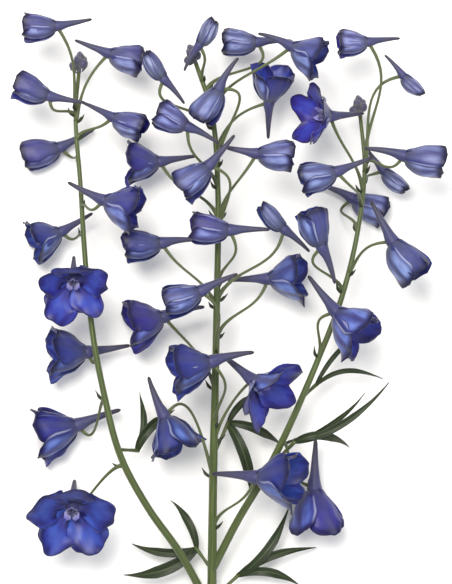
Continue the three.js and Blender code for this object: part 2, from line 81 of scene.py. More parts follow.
LOWEST_SIZE = 1.22  # share of full size of a floret at the foot of a spike
SIZE_FALL = 0.42  # how much of that is lost from the foot of a spike to its tip
STALK_END = 3.4  # from a floret's origin to its stalk's end, at full size
ARRIVAL = (0.6, 0.8)  # a stalk's last direction: along the mouth, and towards the spurred side
STALK_BOW = 0.22
STALK_NOD = 0.4
GAP = 0.4  # between a stalk's end and its floret


def table(keys, *rows):
    """Rows of values, each made a dictionary with the same keys."""
    return [dict(zip(keys.split(), row)) for row in rows]


# How far a floret has opened. The first seven values are the part's: swell widens the base, flare is the
# angle of the sepal tips from the floret's axis, loose is how much the sepals differ in that, size is the
# floret's share of a full one, and width is that of its sepals. tip is a sepal's width at its tip, as a
# share of its widest, and pull is how far the tip's corners are drawn back. The others show only in the
# dressed florets: ruffle is how far the rims wave and roll how far they turn out near the tip, both in
# millimetres. age runs from 0 for a closed bud to 1 for wide open. columns and rows divide a sepal.
STAGES = table(
    "stage swell flare loose size width tip pull ruffle roll age columns rows",
    ("bud", 0.88, -24, 0.6, 0.9, 1.0, 0.6, 0.08, 0.1, 0.0, 0.0, 12, 16),
    ("cup", 1.08, -9, 1.0, 1.05, 1.12, 0.66, 0.06, 0.6, 0.6, 0.4, 16, 22),
    ("bell", 1.1, 14, 1.2, 1.07, 1.22, 0.62, 0.08, 1.1, 1.0, 0.75, 18, 24),
    ("open", 1.0, 54, 1.8, 1.08, 1.32, 0.74, 0.26, 1.5, 0.8, 1.0, 24, 32),
)
STAGES = {row["stage"]: row for row in STAGES}

# The five sepals: angle is counted from the floret's left side, and 90 is the spurred side. rise is the
# angle at which a sepal leaves the axis, start is how far from the axis, share is its length, and swing is
# its share of the flare where that is outwards. lap says whether the sepal's right and left rims lie
# outside (1) or inside (-1) those of its neighbours.
SEPALS = table(
    "angle rise start share swing lap",
    (90, 22, 3.3, 0.92, 0.72, (1, 1)),
    (162, 42, 2.2, 1.02, 0.95, (-1, 1)),
    (234, 54, 2.0, 1.0, 1.05, (-1, 1)),
    (306, 54, 2.0, 1.0, 1.05, (-1, -1)),
    (18, 42, 2.2, 1.02, 0.95, (1, -1)),
)
print("a full sepal is", SEPAL_LENGTH, "mm long and", 2 * SEPAL_HALF_WIDTH, "mm wide")

# %% [markdown]
# ## Where everything is
#
# These tables repeat the part's own layout. Each spike is a list of points that its
# axis passes through. Each floret has the place where its stalk meets it, the way its mouth points
# (`turn`, in degrees from +X towards +Y), how far it is lifted (`rise`), its turn about its own axis
# (`roll`), and on some rows how much larger or smaller than its neighbours it has grown.

# %% The three spikes
SPIKES = {
    "leader": {
        "points": [
            (-9, 0, 2.7), (-8.5, 40, 4.2), (-7.5, 80, 8), (-7, 118, 13.5), (-6.5, 160, 21),
            (-5.5, 205, 28), (-4.5, 255, 32), (-4, 305, 34), (-7, 345, 34), (-15, 370, 33),
        ],
        "radii": (2.9, 1.1),
        "sides": 20,
    },
    "right": {
        "points": [
            (-6.7, 116, 13.4), (6, 141, 18), (19, 163, 21), (31, 187, 25), (46, 222, 28),
            (57.5, 252, 29), (65.5, 284, 28), (69.5, 317, 26), (67.5, 345, 21),
        ],
        "radii": (2.1, 0.95),
        "sides": 16,
    },
    "left": {
        "points": [
            (-8, 96, 11), (-23, 124, 17), (-39.5, 148, 22), (-53, 174, 26), (-61.5, 207, 28),
            (-67, 237, 28), (-70.5, 272, 27), (-73, 310, 26), (-75.5, 345, 24), (-74, 367, 20),
        ],
        "radii": (2.1, 0.95),
        "sides": 16,
    },
}
print("spikes:", ", ".join(SPIKES))

# %% The florets
FLORETS = table(
    "spike at place turn rise roll stage grown",
    ("leader", 0.975, (-13, 378, 42), 65, 6, 0, "bud"),
    ("leader", 0.96, (16, 381, 23), 172, 0, 0, "cup"),
    ("leader", 0.93, (32, 377, 46), -16, 10, 0, "bell"),
    ("leader", 0.91, (-31, 361, 44), 120, 0, 10, "bud"),
    ("leader", 0.88, (21, 351, 24), 72, 22, 180, "bell"),
    ("leader", 0.86, (-3, 356, 52), 232, -4, 0, "cup"),
    ("leader", 0.83, (-19, 337, 50), 145, 0, 0, "cup"),
    ("leader", 0.79, (-33, 321, 22), 175, 4, 0, "bell"),
    ("leader", 0.79, (15, 324, 44), 5, 0, 0, "cup"),
    ("leader", 0.76, (-8, 318, 52), 212, -3, 0, "cup"),
    ("leader", 0.7, (2, 286, 51), 168, 0, 0, "cup"),
    ("leader", 0.67, (-32, 280, 27), 178, 4, 0, "cup"),
    ("leader", 0.68, (29, 287, 24), 128, 0, 0, "bud"),
    ("leader", 0.63, (21, 262, 22), 14, 10, 0, "bell"),
    ("leader", 0.61, (-12, 256, 49), 194, 0, 0, "cup"),
    ("leader", 0.56, (-31, 243, 20), 186, 8, 0, "bell"),
    ("leader", 0.51, (-7, 221, 49), 184, 6, 0, "bell"),
    ("leader", 0.49, (13, 212, 40), -32, 34, 60, "open"),
    ("leader", 0.44, (-30.5, 194, 23), -78, 8, 180, "bell"),
    ("leader", 0.37, (15, 163, 36), 8, 18, 0, "bell"),
    ("right", 0.9, (71, 380, 37), 175, 3, 0, "cup", 0.9),
    ("right", 0.88, (88, 364, 30), -40, 0, 0, "bud", 0.88),
    ("right", 0.9, (88, 323, 42), -4, 3, 0, "cup", 1.18),
    ("right", 0.86, (79, 317, 15), -35, 0, 0, "bud"),
    ("right", 0.84, (52, 343, 36), 168, 28, 0, "open"),
    ("right", 0.81, (55, 315, 48), 186, 0, 0, "cup"),
    ("right", 0.76, (64, 303, 6.1), -16, 0, 0, "cup"),
    ("right", 0.67, (82, 281, 40), -47, 4, 0, "cup", 1.12),
    ("right", 0.63, (47, 278, 45), 102, 8, 0, "cup"),
    ("right", 0.49, (54, 246, 40), -35, 15, 0, "bell"),
    ("right", 0.3, (44, 157, 10.8), -75, 0, 0, "bell"),
    ("left", 0.93, (-84, 388, 36), 175, 3, 0, "cup"),
    ("left", 0.91, (-59, 375, 28), -6, 0, 0, "cup"),
    ("left", 0.92, (-88, 353, 36), 153, 0, 0, "cup"),
    ("left", 0.88, (-57, 343, 29), -14, 10, 0, "cup"),
    ("left", 0.84, (-84, 329, 6.2), 190, 0, 0, "cup"),
    ("left", 0.76, (-61, 301, 43), -8, 8, 0, "bell"),
    ("left", 0.71, (-83, 286, 14), 194, 10, 0, "bell", 0.9),
    ("left", 0.6, (-76, 262, 36), -86, 72, 88, "open"),
    ("left", 0.53, (-70, 225, 14), 172, 12, 0, "bell"),
    ("left", 0.42, (-75, 188, 9.5), 187, 2, 0, "bell"),
    ("left", 0.3, (-77, 148, 26), -88, 72, 85, "open"),
)
print("there are", len(FLORETS), "florets")

# %% The leaves
# at is where the leaf stalk leaves its spike, fork is where the lobes part, and each lobe has its tip,
# the height of its arch, how far it bows to its left, and its half width.
LEAVES = [
    ("right", 0.24, (34, 181, 34), [
        ((81, 211, 36), 4, -5, 1.6), ((70, 205, 20), 5, -3, 1.2), ((62, 178, 22), 8, 5, 1.9),
    ]),
    ("right", 0.4, (45, 209, 20), [
        ((79, 212, 14), 7, 6, 1.1), ((74, 240, 10), 3, 3, 1.1),
    ]),
    ("leader", 0.47, (1, 190, 18), [
        ((13, 152, 8), 10, 3, 2.5), ((28, 178, 4), 7, 3, 2.0), ((16, 205, 6), 5, 2, 1.6),
    ]),
    ("leader", 0.31, (-15, 126, 10), [
        ((-52, 112, 5), 5.5, 4, 2.8), ((-48, 128, 3), 4.5, 3, 2.0), ((-28, 150, 3), 5, -3, 1.8),
    ]),
    ("leader", 0.27, (6, 112, 7), [
        ((32, 147, 3), 7, -4, 2.2), ((46, 126, 3), 6, 4, 1.9), ((38, 106, 3), 5, 5, 2.0),
    ]),
    ("left", 0.33, (-45, 176, 16), [
        ((-26, 196, 8), 6, 3, 2.2), ((-44, 205, 8), 4, -3, 1.5),
    ]),
]
print("there are", len(LEAVES), "leaves")

# %% [markdown]
# ## From the layout to the frame
#
# The layout has its zero at the cut end of the stem, and the frame has its zero under the middle of the
# plant's box. The cut end can be found in both, so the step between them is the difference.

# %% Find the step
CUT_END = Vector(SPIKES["leader"]["points"][0])
CUT_END_DEPTH = 0.5 * MM

stem_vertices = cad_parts["stem"].data.vertices
stem_corners = {tuple(round(value, 6) for value in vertex.co) for vertex in stem_vertices}
lowest = min(y for _, y, _ in stem_corners)
cut_ring = [Vector(corner) for corner in stem_corners if corner[1] < lowest + CUT_END_DEPTH]
cut_middle = sum(cut_ring, Vector()) / len(cut_ring)
STEP = Vector((cut_middle.x - CUT_END.x * MM, cut_middle.y, 0.0))
LAY_OUT = Matrix.Translation(STEP) @ Matrix.Scale(MM, 4)
print("the layout's zero is at", tuple(round(value, 4) for value in STEP))

# %% [markdown]
# ## Small tools
#
# A colour is written as a picture editor shows it, and one function turns it to the linear values that a
# shader wants. A new material comes with a function that adds a node to it, with its settings and links,
# so that a material reads as a list. The seeded generator draws the same numbers as the part's does,
# because each floret's own size and bend come from it.

# %% Colour and node tools
def linear(hex_colour):
    channels = [int(hex_colour[place : place + 2], 16) / 255 for place in (1, 3, 5)]
    return [c / 12.92 if c <= 0.04045 else ((c + 0.055) / 1.055) ** 2.4 for c in channels] + [1.0]


def new_material(name):
    """An empty material, and the function that adds a node to it."""
    material = bpy.data.materials.new(name)
    material.use_nodes = True
    tree = material.node_tree
    tree.nodes.clear()

    def add(kind, settings=None, output=0, **inputs):
        """Gives one output of the new node. An input is a value, a hex colour or another node's output."""
        node = tree.nodes.new("ShaderNode" + kind)
        for key, value in (settings or {}).items():
            if key == "stops":
                elements = node.color_ramp.elements
                while len(elements) < len(value):
                    elements.new(0.5)
                for element, (place, colour) in zip(elements, value):
                    element.position = place
                    element.color = linear(colour) if isinstance(colour, str) else [colour] * 3 + [1.0]
            else:
                setattr(node, key, value)
        for key, value in inputs.items():
            socket = node.inputs[int(key[1:]) if key[0] == "_" else key.replace("_", " ")]
            if isinstance(value, bpy.types.NodeSocket):
                tree.links.new(value, socket)
            else:
                socket.default_value = linear(value) if isinstance(value, str) else value
        return node.outputs[output] if node.outputs else node

    return material, add


def surface(add, colour, height, relief, glow, **settings):
    """A reflecting skin with a low relief, mixed with the light that passes through the piece.

    relief is the relief's strength and its depth in metres, and glow is the share that passes through."""
    strength, depth = relief
    bumps = add("Bump", Strength=strength, Distance=depth, Height=height)
    shader = add("BsdfPrincipled", Base_Color=colour, Normal=bumps, **settings)
    if glow:
        shader = add("MixShader", _0=glow, _1=shader, _2=add("BsdfTranslucent", Color=colour))
    add("OutputMaterial", Surface=shader)


# Settings that many nodes share. A Mix node's colours are inputs _6 and _7, and its colour is output 2.
COLOURS = {"data_type": "RGBA"}
TINTED = {"data_type": "RGBA", "blend_type": "MULTIPLY"}
TIMES = {"operation": "MULTIPLY"}
TIMES_PLUS = {"operation": "MULTIPLY_ADD"}
SMOOTH = {"interpolation_type": "SMOOTHSTEP"}
MIXED = 2
print("half grey, #808080, is", round(linear("#808080")[0], 2), "in linear light")


# %% Seeded draws
WORD = 0xFFFFFFFF

# How much a floret may differ either way from the tables.
SIZE_VARIES = 0.04
SPUR_BENDS = 2.4  # millimetres at its end
SEPAL_TURNS = 1  # degrees
FLARE_VARIES = 7  # degrees
LENGTH_VARIES = 0.05


def seeded(seed):
    """A generator of numbers from 0 to 1, known as mulberry32."""
    state = seed

    def draw():
        nonlocal state
        state = (state + 0x6D2B79F5) & WORD
        word = ((state ^ (state >> 15)) * (state | 1)) & WORD
        word ^= (word + (word ^ (word >> 7)) * (word | 61)) & WORD
        return (word ^ (word >> 14)) / (WORD + 1)

    return draw


def individual(floret, number):
    """What makes one floret differ from the next: drawn in the same order as in the part."""
    draw = seeded(number)

    def within(amount):
        return (2 * draw() - 1) * amount

    share = LOWEST_SIZE - SIZE_FALL * floret["at"] + within(SIZE_VARIES)
    size = floret.get("grown", 1.0) * (STAGES[floret["stage"]]["size"] * share)
    own = {"number": number, "size": size, "spur_bend": within(SPUR_BENDS), "sepals": []}
    for _ in SEPALS:
        turned, flared = within(SEPAL_TURNS), within(FLARE_VARIES)
        own["sepals"].append({"turned": turned, "flared": flared, "longer": 1 + within(LENGTH_VARIES)})
    return own


for number, floret in enumerate(FLORETS, 1):
    floret.update(individual(floret, number))
sizes_drawn = [round(floret["size"], 2) for floret in FLORETS]
print("sizes run from", min(sizes_drawn), "to", max(sizes_drawn))

# %% [markdown]
# ## Curves
#
# A spike's axis is a centripetal Catmull-Rom curve: it passes through every point of the table, and it
# never loops or overshoots where points are unevenly spaced. It is sampled once and then read by the
# share of its length, so that `at` means the same here as in the part. Flower stalks and leaves are
# Bezier curves, which only lean towards the points between their ends.

# %% Catmull-Rom curve
SAMPLES = 200
REACH = 0.01  # share of a path, each way, over which its direction is measured
ROUNDING = 1e-9


def catmull_rom(points, share):
    """A point of the curve through the points; share runs evenly from point to point."""
    place = share * (len(points) - 1)
    low = min(int(place), len(points) - 2)
    before = points[low - 1] if low else 2 * points[0] - points[1]
    after = points[low + 2] if low + 2 < len(points) else 2 * points[-1] - points[-2]
    p0, p1, p2, p3 = before, points[low], points[low + 1], after
    d0, d1, d2 = (math.sqrt((b - a).length) for a, b in ((p0, p1), (p1, p2), (p2, p3)))
    leave = d1 * ((p1 - p0) / d0 - (p2 - p0) / (d0 + d1) + (p2 - p1) / d1)
    arrive = d1 * ((p2 - p1) / d1 - (p3 - p1) / (d1 + d2) + (p3 - p2) / d2)
    t = place - low
    square = -3 * p1 + 3 * p2 - 2 * leave - arrive
    cube = 2 * p1 - 2 * p2 + leave + arrive
    return p1 + leave * t + square * t**2 + cube * t**3


class Path:
    """A sampled curve, read by the share of its length."""

    def __init__(self, samples):
        self.samples = samples
        self.reach = [0.0]
        for first, second in zip(samples, samples[1:]):
            self.reach.append(self.reach[-1] + (second - first).length)

    def point(self, share):
        wanted = share * self.reach[-1]
        place = next(i for i, reach in enumerate(self.reach) if reach >= wanted - ROUNDING)
        if place == 0:
            return self.samples[0].copy()
        low, high = self.reach[place - 1], self.reach[place]
        return self.samples[place - 1].lerp(self.samples[place], (wanted - low) / (high - low))

    def direction(self, share):
        return (self.point(min(share + REACH, 1)) - self.point(max(share - REACH, 0))).normalized()


spike_paths = {}
for name, spike in SPIKES.items():
    points = [Vector(point) for point in spike["points"]]
    spike_paths[name] = Path([catmull_rom(points, i / SAMPLES) for i in range(SAMPLES + 1)])
    print(name, "spike:", round(spike_paths[name].reach[-1]), "mm")


# %% Bezier curve and even steps
def bezier(corners, count):
    """Points of a Bezier curve with any number of corners, by de Casteljau's construction."""
    found = []
    for place in range(count + 1):
        share = place / count
        row = [corner.copy() for corner in corners]
        while len(row) > 1:
            row = [first.lerp(second, share) for first, second in zip(row, row[1:])]
        found.append(row[0])
    return found


def through(values):
    """A value that runs evenly between those of a list."""

    def at(share):
        place = share * (len(values) - 1)
        low = min(int(place), len(values) - 2)
        return values[low] + (values[low + 1] - values[low]) * (place - low)

    return at


arch = bezier([Vector((0, 0)), Vector((1, 2)), Vector((2, 0))], 2)
print("an arch whose corner is 2 high rises to", arch[1].y)
print("half way from 1 to 2 is", through([1, 2])(0.5))


# %% [markdown]
# ## A tube
#
# Stems, stalks and spurs are all tubes that change their width. A tube starts as one ring, a
# `create_circle`, and the ring is extruded along the path step by step. Each step turns the ring with the
# path, by the shortest turn from the old direction to the new one, so it never twists. Last, the places
# on the tube are written to a UV map: once round is 1, and along is counted in centimetres.

# %% Turn with a path
def frames_along(points):
    """A matrix for each point, with its Z axis along the path."""
    before, after = points[:1] + points[:-1], points[1:] + points[-1:]
    directions = [(last - first).normalized() for first, last in zip(before, after)]
    turn = directions[0].to_track_quat("Z", "X")
    matrices = []
    for place, point in enumerate(points):
        if place:
            turn = directions[place - 1].rotation_difference(directions[place]) @ turn
        matrices.append(Matrix.Translation(point) @ turn.to_matrix().to_4x4())
    return matrices


# %% Tube tool
UV_PER_MM = 0.1


def lay_round(bm, faces, steps, points, turned):
    """Writes the faces' places: how far round the tube and, in centimetres, how far along."""
    uv = bm.loops.layers.uv["place"]
    heights = [0.0]
    for first, second in zip(points, points[1:]):
        heights.append(heights[-1] + (second - first).length * UV_PER_MM)
    unturned = [matrix.inverted() for matrix in turned]
    for face in faces:
        around = []
        for vertex in face.verts:
            local = unturned[steps[vertex]] @ vertex.co
            around.append(math.atan2(local.y, local.x) / math.tau % 1.0)
        wraps = max(around) - min(around) > 0.5
        for loop, share in zip(face.loops, around):
            loop[uv].uv = (share + (wraps and share < 0.5), heights[steps[loop.vert]])


def tube(bm, points, radius_at, sides, slot=0, ribs=0, rib_depth=0.0):
    """Extrudes a ring along the points. radius_at gives its radius at each share of the way."""
    last = len(points) - 1
    turned = frames_along(points)
    sized = [turned[step] @ Matrix.Scale(radius_at(step / last), 4) for step in range(last + 1)]
    ring = bmesh.ops.create_circle(bm, cap_ends=True, segments=sides, radius=1.0)["verts"]
    for vertex in ring:
        vertex.co *= 1 + rib_depth * math.cos(ribs * math.atan2(vertex.co.y, vertex.co.x))
    bmesh.ops.transform(bm, matrix=sized[0], verts=ring)
    faces = list(ring[0].link_faces)
    edges = list(faces[0].edges)
    steps = dict.fromkeys(ring, 0)
    for step in range(1, last + 1):
        grown = bmesh.ops.extrude_edge_only(bm, edges=edges)["geom"]
        ring = [item for item in grown if isinstance(item, bmesh.types.BMVert)]
        steps.update(dict.fromkeys(ring, step))
        edges = [item for item in grown if isinstance(item, bmesh.types.BMEdge)]
        edges = [edge for edge in edges if all(steps[vertex] == step for vertex in edge.verts)]
        faces += [item for item in grown if isinstance(item, bmesh.types.BMFace)]
        bmesh.ops.transform(bm, matrix=sized[step] @ sized[step - 1].inverted(), verts=ring)
    faces += bmesh.ops.contextual_create(bm, geom=edges)["faces"]
    bmesh.ops.recalc_face_normals(bm, faces=faces)
    for face in faces:
        face.material_index = slot
        face.smooth = len(face.verts) == 4
    lay_round(bm, faces, steps, points, turned)


# %% Start and finish a mesh
def new_mesh():
    """An empty bmesh: its UV map holds places on the surface, its colours a floret's own values."""
    bm = bmesh.new()
    bm.loops.layers.uv.new("place")
    bm.verts.layers.float_color.new("nature")
    return bm


def new_object(name, data):
    """An object that puts a mesh, a lamp or a camera in the scene."""
    thing = bpy.data.objects.new(name, data)
    bpy.context.scene.collection.objects.link(thing)
    return thing


def finished(bm, name, materials, replaced=(), thickness=0.0):
    bmesh.ops.transform(bm, matrix=LAY_OUT, verts=bm.verts)
    for vertex in bm.verts:
        vertex.co.z = max(vertex.co.z, 0.0)  # the skin stops at the surface that the plant lies on
    mesh = bpy.data.meshes.new(name)
    bm.to_mesh(mesh)
    bm.free()
    piece = new_object(name, mesh)
    for material in materials:
        mesh.materials.append(material)
    if thickness:
        solid = piece.modifiers.new("thickness", "SOLIDIFY")
        solid.thickness = thickness * MM
        solid.offset = -1
        solid.material_offset = 1
        solid.material_offset_rim = 0
    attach(piece, "root")
    if replaced:
        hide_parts(*replaced)
    return piece


# %% [markdown]
# ## The finish of stems and stalks
#
# A delphinium's stem is a living green rod: a thin waxy skin over ribs of fibre, so it has a soft satin
# gloss and fine lengthwise lines. The colour noise is stretched along the UV map's length, which keeps
# the lines running up the stem where it bends. The stalks are darker and greyer than the axis, because
# they are covered in short down.

# %% Stem skin
RIBBING = (22.0, 0.5, 1.0)  # 22 fine lines round a stem, each about 20 mm long
BLOTCHES = 60.0  # a metre, so 17 mm each


def stem_finish(name, dark, middle, light, roughness):
    material, add = new_material(name)
    place = add("UVMap", {"uv_map": "place"})
    lines = add("Mapping", Vector=place, Scale=RIBBING)
    ribs = add("TexNoise", Vector=lines, Scale=1.0, Detail=3.0)
    blotches = add("TexNoise", Vector=add("TexCoord", output="Object"), Scale=BLOTCHES, Detail=2.0)
    lined = add("ValToRGB", {"stops": [(0.3, dark), (0.5, middle), (0.72, light)]}, Fac=ribs)
    colour = add("Mix", COLOURS, MIXED, _0=add("Math", TIMES, _0=blotches, _1=0.5), _6=lined, _7=middle)
    surface(add, colour, ribs, (0.5, 0.0002), 0.0, Roughness=roughness, IOR=1.42, Sheen_Weight=0.15)
    return material


axis_skin = stem_finish("green_stem_skin", "#2f3b1a", "#435026", "#616e39", 0.42)
stalk_skin = stem_finish("downy_stalk_skin", "#363f28", "#4b5632", "#667147", 0.5)
print("stem finishes:", axis_skin.name, stalk_skin.name)

# %% [markdown]
# ## The stem
#
# The three axes and all the flower stalks grew as one piece, so they are one mesh here too. A stalk
# leaves its axis upwards, bows out, and nods over into the back of its floret. It is thickest where it
# leaves the axis, thinnest in the middle, and swells a little just before the floret.

# %% The axes
AXIS_STEPS = 70
AXIS_RIBS = 7
AXIS_RIB_DEPTH = 0.05  # as a share of the radius

stem = new_mesh()
for name, spike in SPIKES.items():
    path = spike_paths[name]
    points = [path.point(step / AXIS_STEPS) for step in range(AXIS_STEPS + 1)]
    tube(stem, points, through(spike["radii"]), spike["sides"], ribs=AXIS_RIBS, rib_depth=AXIS_RIB_DEPTH)
print("axes:", len(stem.faces), "faces")


# %% The stalks
STALK_STEPS = 16
STALK_SIDES = 8
STALK_SWELLING = [1.3, 0.85, 0.68, 0.66, 0.72, 0.95]
STALK_SUNK = 1.6  # how far a stalk runs on into its floret


def floret_axes(floret):
    """The floret's own axes: out of the mouth, to its left, and to its spurred side."""
    turn, rise = math.radians(floret["turn"]), math.radians(floret["rise"])
    mouth = Vector((math.cos(rise) * math.cos(turn), math.cos(rise) * math.sin(turn), math.sin(rise)))
    side = -1 if math.cos(turn) < 0 else 1
    spurred = Vector((-math.sin(turn), math.cos(turn), 0)) * side
    spurred.rotate(Quaternion(mouth, math.radians(floret["roll"])))
    return mouth, spurred.cross(mouth), spurred


def stalk_points(floret):
    mouth, _, spurred = floret_axes(floret)
    path = spike_paths[floret["spike"]]
    root = path.point(floret["at"])
    upwards = path.direction(floret["at"])
    arrival = ARRIVAL[0] * mouth + ARRIVAL[1] * spurred
    end = Vector(floret["place"]) - arrival * (STALK_END * floret["size"] + GAP)
    reach = (end - root).length
    outwards = (end - root).normalized()
    bow = root + (upwards + outwards) * STALK_BOW * reach
    nod = end - arrival * STALK_NOD * reach
    return bezier([root, bow, nod, end], STALK_STEPS) + [end + arrival * STALK_SUNK]


for floret in FLORETS:
    tube(stem, stalk_points(floret), through(STALK_SWELLING), STALK_SIDES, slot=1)
print("with stalks:", len(stem.faces), "faces")
finished(stem, "stem_and_stalks", [axis_skin, stalk_skin], ["stem"])

# %% [markdown]
# ## The finish of a sepal
#
# A sepal is a thin leaf of coloured tissue. Light passes through it, so the shader mixes a skin that
# reflects with a `Translucent BSDF` that glows on the far side. Its surface is made of tiny domed cells
# that give a silky sheen. The UV map runs from claw (v 0) to tip (v 1) and from rim to rim, so each
# pattern can follow the sepal's own shape. The outside is dull violet, and greenish at the claw, with a
# greyer rib along the middle and a dark rim and tip. Over that lies painted light: pale streaks beside
# the rib and a pale line inside the rim are painted highlights, and dark clouds and a darkening towards
# the rim are painted shade. The inside is bright blue, with clouds of painted highlight and painted
# shade. Each finish is laid on in thin layers, as with paint, and masks say where a layer shows.

# %% Shared parts of the petal finishes
def sepal_places(add):
    """Along (0 claw, 1 tip), rim (0 midrib, 1 rim), and the floret's own age, tone and strength of painted
    highlight.
    """
    place = add("UVMap", {"uv_map": "place"})
    across = add("SeparateXYZ", Vector=place)
    along = add("SeparateXYZ", output="Y", Vector=place)
    rim = add("Math", {"operation": "ABSOLUTE"}, _0=add("Math", TIMES_PLUS, _0=across, _1=2.0, _2=-1.0))
    nature = add("Attribute", {"attribute_name": "nature"}, "Color")
    own = [add("SeparateColor", output=channel, Color=nature) for channel in ("Red", "Green", "Blue")]
    return place, along, rim, *own


def veins(add, place, across, along, seed):
    """Noise drawn out as veins. across and along say how many fit the blade's width and length."""
    drawn = add("Mapping", Vector=place, Location=(seed, seed, 0.0), Scale=(across, along, 1.0))
    return add("TexNoise", Vector=drawn, Scale=1.0, Detail=2.0)


def laid_over(add, colour, new_colour, *masks):
    """Lays a new colour over another, where all the masks meet.

    A mask is a value, where on it the layer starts and is full, its most and, unless 0, its least."""
    cover = None
    for value, start, full, most, *least in masks:
        shares = {"To_Min": least[0] if least else 0.0, "To_Max": most}
        mask = add("MapRange", SMOOTH, Value=value, From_Min=start, From_Max=full, **shares)
        cover = mask if cover is None else add("Math", TIMES, _0=cover, _1=mask)
    return add("Mix", COLOURS, MIXED, _0=cover, _6=colour, _7=new_colour)


def veined(add, colour, fine, dark, light):
    """Darkens and lightens a colour along its fine veins."""
    shade = add("ValToRGB", {"stops": [(0.3, dark), (0.55, 1.0), (0.75, light)]}, Fac=fine)
    return add("Mix", TINTED, MIXED, _0=0.8, _6=colour, _7=shade)


def petal_skin(add, colour, roughness, height):
    """Silky, and a good fifth of the light passes through."""
    sheen = {"Sheen_Weight": 0.25, "Sheen_Roughness": 0.4}
    surface(add, colour, height, (0.35, 0.0002), 0.22, Roughness=roughness, IOR=1.4, **sheen)


# %% The outside of a sepal
YOUNG_OUTSIDE = [(0.0, "#55595e"), (0.25, "#60647f"), (0.6, "#5a5c8a"), (0.85, "#424272"), (1.0, "#1a1938")]
RIPE_OUTSIDE = [(0.0, "#45466a"), (0.25, "#3d3f86"), (0.6, "#36389a"), (0.85, "#2b2c86"), (1.0, "#17164a")]


def outside_finish():
    material, add = new_material("sepal_outside")
    place, along, rim, age, tone, highlight_strength = sepal_places(add)
    young = add("ValToRGB", {"stops": YOUNG_OUTSIDE}, Fac=along)
    ripe = add("ValToRGB", {"stops": RIPE_OUTSIDE}, Fac=along)
    colour = add("Mix", COLOURS, MIXED, _0=age, _6=young, _7=ripe)

    colour = laid_over(add, colour, "#50506c", (rim, 0.45, 0.0, 0.4))  # the greyer rib

    # painted highlight: pale streaks on each side of the midrib, on some sepals only
    highlight_blue = add("Mix", COLOURS, MIXED, _0=age, _6="#a6adce", _7="#7a98f4")
    highlight_streaks = veins(add, place, 2.2, 1.1, 3.0)
    colour = laid_over(
        add,
        colour,
        highlight_blue,
        (rim, 1.0, 0.55, 1.0),
        (rim, 0.0, 0.3, 1.0, 0.4),
        (along, 0.15, 0.55, 1.0),
        (along, 0.97, 0.75, 1.0),
        (highlight_streaks, 0.36, 0.6, 1.0),
        (highlight_strength, 0.35, 1.0, 0.85),
    )

    # painted shade: dark clouds, and darker towards every rim; then a thin darker rim near the tip
    painted_light_clouds = veins(add, place, 1.4, 0.9, 13.0)
    colour = laid_over(add, colour, "#25276a", (painted_light_clouds, 0.42, 0.62, 0.7))
    colour = laid_over(add, colour, "#2a2a68", (rim, 0.35, 1.0, 0.35))
    colour = laid_over(add, colour, "#232258", (rim, 0.86, 1.0, 0.5), (along, 0.6, 0.9, 1.0))

    # painted highlight: a long thin pale line just inside the rim, where it catches the light, strongest on
    # the sepals with highlight streaks
    colour = laid_over(
        add,
        colour,
        "#a3a9cf",
        (rim, 0.78, 0.9, 0.8),
        (rim, 0.99, 0.93, 1.0),
        (along, 0.93, 0.7, 1.0),
        (along, 0.05, 0.4, 1.0),
        (highlight_strength, 0.3, 0.8, 1.0),
    )

    # nearly black tips, darkest on the youngest
    tip_colour = add("Mix", COLOURS, MIXED, _0=age, _6="#161427", _7="#1d1c52")
    colour = laid_over(add, colour, tip_colour, (along, 0.82, 0.98, 0.9))

    fine = veins(add, place, 46.0, 2.4, 7.0)  # a third of a millimetre apart
    colour = veined(add, colour, fine, 0.8, 1.1)
    hue = add("Math", TIMES_PLUS, _0=tone, _1=0.014, _2=0.4925)
    # older florets, the lower ones on a spike, are made darker: partly their own deeper blue, partly
    # painted shade
    darker_with_age = add("MapRange", SMOOTH, Value=age, To_Min=1.06, To_Max=0.88)
    turned = add("HueSaturation", Hue=hue, Saturation=1.04, Value=darker_with_age, Color=colour)
    petal_skin(add, turned, 0.42, fine)
    return material


sepal_outside = outside_finish()
print("outside of a sepal:", len(sepal_outside.node_tree.nodes), "nodes")

# %% The inside of a sepal
INSIDE = [(0.0, "#8f8fc0"), (0.2, "#5555ae"), (0.5, "#3e40ae"), (0.85, "#3536a6"), (1.0, "#28287c")]


def inside_finish():
    material, add = new_material("sepal_inside")
    place, along, _, _, tone, _ = sepal_places(add)
    colour = add("ValToRGB", {"stops": INSIDE}, Fac=along)
    # painted light: clouds of painted highlight (#526ce2) and of painted shade (#1b1b66) over the inside
    painted_light_clouds = veins(add, place, 2.0, 1.2, 11.0)
    colour = laid_over(add, colour, "#526ce2", (painted_light_clouds, 0.44, 0.64, 0.9))
    colour = laid_over(add, colour, "#1b1b66", (painted_light_clouds, 0.49, 0.35, 0.85))
    fine = veins(add, place, 40.0, 2.0, 5.0)
    colour = veined(add, colour, fine, 0.78, 1.14)
    hue = add("Math", TIMES_PLUS, _0=tone, _1=0.018, _2=0.492)
    turned = add("HueSaturation", Hue=hue, Saturation=1.01, Value=0.64, Color=colour)
    petal_skin(add, turned, 0.38, fine)
    return material


sepal_inside = inside_finish()
print("inside of a sepal:", len(sepal_inside.node_tree.nodes), "nodes")

# %% The spur's skin
SPUR_REACH = 2.3  # a spur's length in centimetres, as its UV map counts it
SPUR_SKIN = [(0.0, "#47487a"), (0.25, "#484974"), (0.6, "#494964"), (0.9, "#423f52"), (1.0, "#322d38")]


